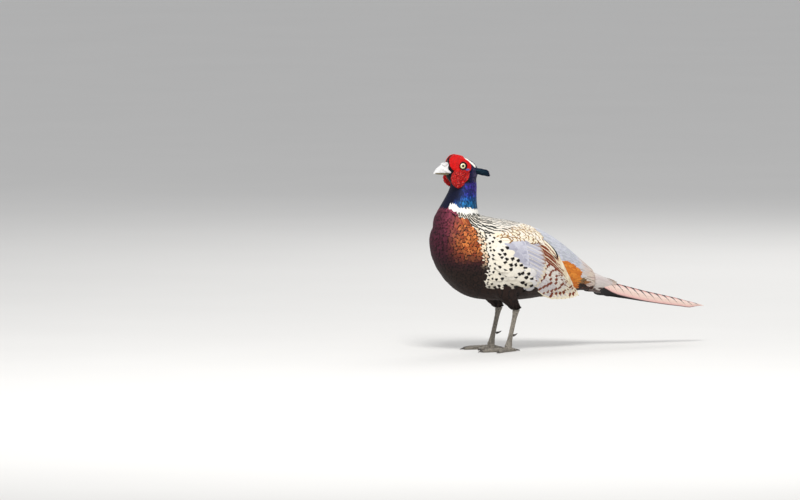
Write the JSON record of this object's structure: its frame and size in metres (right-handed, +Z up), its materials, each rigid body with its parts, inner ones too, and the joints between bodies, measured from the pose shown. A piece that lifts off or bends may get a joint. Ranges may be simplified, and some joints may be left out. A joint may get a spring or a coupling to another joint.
{
  "type": "common pheasant",
  "caption": "Life-size cock pheasant standing with head raised, red face wattles, white neck ring, patterned plumage and a long barred tail.",
  "frame": {"origin": "on the ground under the centre of the bird's bounding box, where its soles rest", "axes": "+X along the body from bill to tail, so the bird faces -X; +Z up; the bird's left side is -Y"},
  "size_m": [0.521, 0.1416, 0.336],
  "materials": {
    "eye": "glossy pale yellow iris round a black pupil",
    "bill_horn": "pale horn, satin",
    "face_skin": "bare red skin with small warty bumps",
    "ear_feathers": "dark blue-green glossy feathers",
    "wing_feathers": "lavender-grey coverts, cream and chestnut flight feathers",
    "leg_skin": "grey scaled skin",
    "claw_horn": "dark horn",
    "thigh_feathers": "blackish-brown feathers",
    "head_feathers": "dark blue and bronze glossy feathers",
    "neck_feathers": "glossy violet-blue feathers above a white ring",
    "body_feathers": "maroon breast, spotted flanks, scalloped back, lavender rump",
    "tail_feathers": "pinkish buff with black bars"
  },
  "bodies": {
    "root": {"bill_lower": "bill_horn", "bill_upper": "bill_horn", "claw_hind_left": "claw_horn", "claw_hind_right": "claw_horn", "claw_inner_left": "claw_horn", "claw_inner_right": "claw_horn", "claw_middle_left": "claw_horn", "claw_middle_right": "claw_horn", "claw_outer_left": "claw_horn", "claw_outer_right": "claw_horn", "ear_tuft_left": "ear_feathers", "ear_tuft_right": "ear_feathers", "eye_left": "eye", "eye_right": "eye", "foot_left": "leg_skin", "foot_right": "leg_skin", "head": "head_feathers", "neck": "neck_feathers", "spur_left": "claw_horn", "spur_right": "claw_horn", "tail": "tail_feathers", "tarsus_left": "leg_skin", "tarsus_right": "leg_skin", "thigh_left": "thigh_feathers", "thigh_right": "thigh_feathers", "torso": "body_feathers", "wattle_left": "face_skin", "wattle_right": "face_skin", "wing_left": "wing_feathers", "wing_right": "wing_feathers"}
  },
  "joints": []
}
